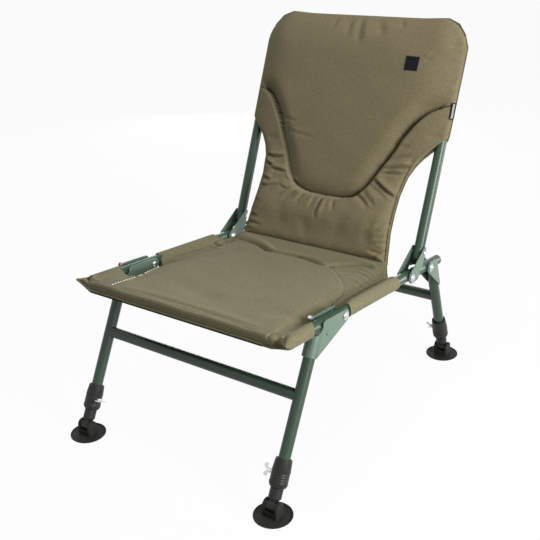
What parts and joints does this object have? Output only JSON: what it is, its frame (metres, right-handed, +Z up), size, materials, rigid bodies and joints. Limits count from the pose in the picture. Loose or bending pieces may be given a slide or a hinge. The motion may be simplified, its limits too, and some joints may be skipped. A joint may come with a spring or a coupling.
{
  "type": "folding fishing chair",
  "caption": "Low folding fishing chair with padded seat and waisted padded backrest on a green tube frame, with telescopic legs and round swivelling mud feet.",
  "frame": {"origin": "on the ground under the middle of the bounding box of the open chair", "axes": "+Z up, -Y the way the sitter faces, +X to the right of someone looking at the front of the chair"},
  "size_m": [0.536, 0.769, 0.7539],
  "materials": {
    "frame_paint": "smooth dark green paint",
    "bracket_paint": "grey-green powder coat",
    "zinc": "zinc plated",
    "grey_plastic": "fine moulded grain",
    "black_plastic": "fine moulded grain",
    "red_plastic": "gloss",
    "cover_cloth": "matte woven polyester over foam",
    "label_cloth": "plain woven patch"
  },
  "bodies": {
    "seat_frame": {"seat_frame_tube": "frame_paint", "rail_end_cap_left": "frame_paint", "rail_end_cap_right": "frame_paint", "seat_cover": "cover_cloth"},
    "front_legs": {"front_cross_tube": "frame_paint", "front_leg_tube_left": "frame_paint", "front_leg_tube_right": "frame_paint", "front_leg_collar_left": "grey_plastic", "front_leg_collar_right": "grey_plastic", "front_pivot_rivet_left": "zinc", "front_pivot_rivet_right": "zinc", "front_leg_bracket_left": "bracket_paint", "front_leg_bracket_right": "bracket_paint", "front_stop_pin_left": "zinc", "front_stop_pin_right": "zinc", "lock_bush_left": "zinc", "lock_bush_right": "zinc"},
    "rear_legs": {"rear_cross_tube": "frame_paint", "rear_leg_tube_left": "frame_paint", "rear_leg_tube_right": "frame_paint", "rear_leg_collar_left": "grey_plastic", "rear_leg_collar_right": "grey_plastic", "rear_pivot_rivet_left": "zinc", "rear_pivot_rivet_right": "zinc", "rear_leg_bracket_left": "bracket_paint", "rear_leg_bracket_right": "bracket_paint"},
    "backrest": {"backrest_frame_tube": "frame_paint", "backrest_cover": "cover_cloth", "label_patch": "label_cloth", "side_tag": "label_cloth", "back_hinge_bracket_left": "bracket_paint", "back_hinge_bracket_right": "bracket_paint", "back_pivot_rivet_left": "zinc", "back_pivot_rivet_right": "zinc", "back_tube_rivet_left": "zinc", "back_tube_rivet_right": "zinc", "back_tube_plug_left": "black_plastic", "back_tube_plug_right": "black_plastic", "back_stop_knob_left": "black_plastic", "back_stop_knob_right": "black_plastic"},
    "front_extension_left": {"front_inner_leg_left": "zinc", "front_foot_stem_left": "grey_plastic"},
    "front_foot_left": {"front_mud_foot_left": "black_plastic"},
    "front_screw_left": {"front_wing_screw_left": "zinc"},
    "front_extension_right": {"front_inner_leg_right": "zinc", "front_foot_stem_right": "grey_plastic"},
    "front_foot_right": {"front_mud_foot_right": "black_plastic"},
    "front_screw_right": {"front_wing_screw_right": "zinc"},
    "rear_extension_left": {"rear_inner_leg_left": "zinc", "rear_foot_stem_left": "grey_plastic"},
    "rear_foot_left": {"rear_mud_foot_left": "black_plastic"},
    "rear_screw_left": {"rear_wing_screw_left": "zinc"},
    "rear_extension_right": {"rear_inner_leg_right": "zinc", "rear_foot_stem_right": "grey_plastic"},
    "rear_foot_right": {"rear_mud_foot_right": "black_plastic"},
    "rear_screw_right": {"rear_wing_screw_right": "zinc"},
    "lock_left": {"lock_pin_left": "zinc", "lock_button_left": "red_plastic"},
    "lock_right": {"lock_pin_right": "zinc", "lock_button_right": "red_plastic"}
  },
  "joints": [
    {"name": "front_leg_fold", "type": "hinge", "parent": "seat_frame", "child": "front_legs", "pos_m": [0, -0.1266, 0.301], "axis": [1, 0, 0], "range_deg": [0, 103]},
    {"name": "rear_leg_fold", "type": "hinge", "parent": "seat_frame", "child": "rear_legs", "pos_m": [0, 0.22565, 0.26584], "axis": [-1, 0, 0], "range_deg": [0, 108]},
    {"name": "backrest_fold", "type": "hinge", "parent": "seat_frame", "child": "backrest", "pos_m": [0, 0.13809, 0.27458], "axis": [1, 0, 0], "range_deg": [0, 92]},
    {"name": "front_leg_slide_left", "type": "slide", "parent": "front_legs", "child": "front_extension_left", "axis": [0, 0.4602, 0.8878], "range_m": [-0.12, 0]},
    {"name": "front_foot_swivel_left", "type": "hinge", "parent": "front_extension_left", "child": "front_foot_left", "pos_m": [-0.232, -0.34848, 0.022], "axis": [1, 0, 0], "range_deg": [-45, 60]},
    {"name": "front_screw_turn_left", "type": "hinge", "parent": "front_legs", "child": "front_screw_left", "pos_m": [-0.232, -0.32202, 0.07305], "axis": [0.9659, -0.2298, 0.1191], "range_deg": [0, 720]},
    {"name": "front_leg_slide_right", "type": "slide", "parent": "front_legs", "child": "front_extension_right", "axis": [0, 0.4602, 0.8878], "range_m": [-0.12, 0]},
    {"name": "front_foot_swivel_right", "type": "hinge", "parent": "front_extension_right", "child": "front_foot_right", "pos_m": [0.232, -0.34848, 0.022], "axis": [1, 0, 0], "range_deg": [-45, 60]},
    {"name": "front_screw_turn_right", "type": "hinge", "parent": "front_legs", "child": "front_screw_right", "pos_m": [0.232, -0.32202, 0.07305], "axis": [-0.9659, -0.2298, 0.1191], "range_deg": [0, 720]},
    {"name": "rear_leg_slide_left", "type": "slide", "parent": "rear_legs", "child": "rear_extension_left", "axis": [0, -0.3272, 0.9449], "range_m": [-0.12, 0]},
    {"name": "rear_foot_swivel_left", "type": "hinge", "parent": "rear_extension_left", "child": "rear_foot_left", "pos_m": [-0.232, 0.3393, 0.022], "axis": [-1, 0, 0], "range_deg": [-45, 70.9]},
    {"name": "rear_screw_turn_left", "type": "hinge", "parent": "rear_legs", "child": "rear_screw_left", "pos_m": [-0.232, 0.32049, 0.07634], "axis": [1, 0, 0], "range_deg": [0, 720]},
    {"name": "rear_leg_slide_right", "type": "slide", "parent": "rear_legs", "child": "rear_extension_right", "axis": [0, -0.3272, 0.9449], "range_m": [-0.12, 0]},
    {"name": "rear_foot_swivel_right", "type": "hinge", "parent": "rear_extension_right", "child": "rear_foot_right", "pos_m": [0.232, 0.3393, 0.022], "axis": [-1, 0, 0], "range_deg": [-45, 70.9]},
    {"name": "rear_screw_turn_right", "type": "hinge", "parent": "rear_legs", "child": "rear_screw_right", "pos_m": [0.232, 0.32049, 0.07634], "axis": [-1, 0, 0], "range_deg": [0, 720]},
    {"name": "lock_pull_left", "type": "slide", "parent": "front_legs", "child": "lock_left", "axis": [-1, 0, 0], "range_m": [0, 0.006], "stiffness_N_per_m": 800},
    {"name": "lock_pull_right", "type": "slide", "parent": "front_legs", "child": "lock_right", "axis": [-1, 0, 0], "range_m": [0, 0.006], "stiffness_N_per_m": 800}
  ]
}
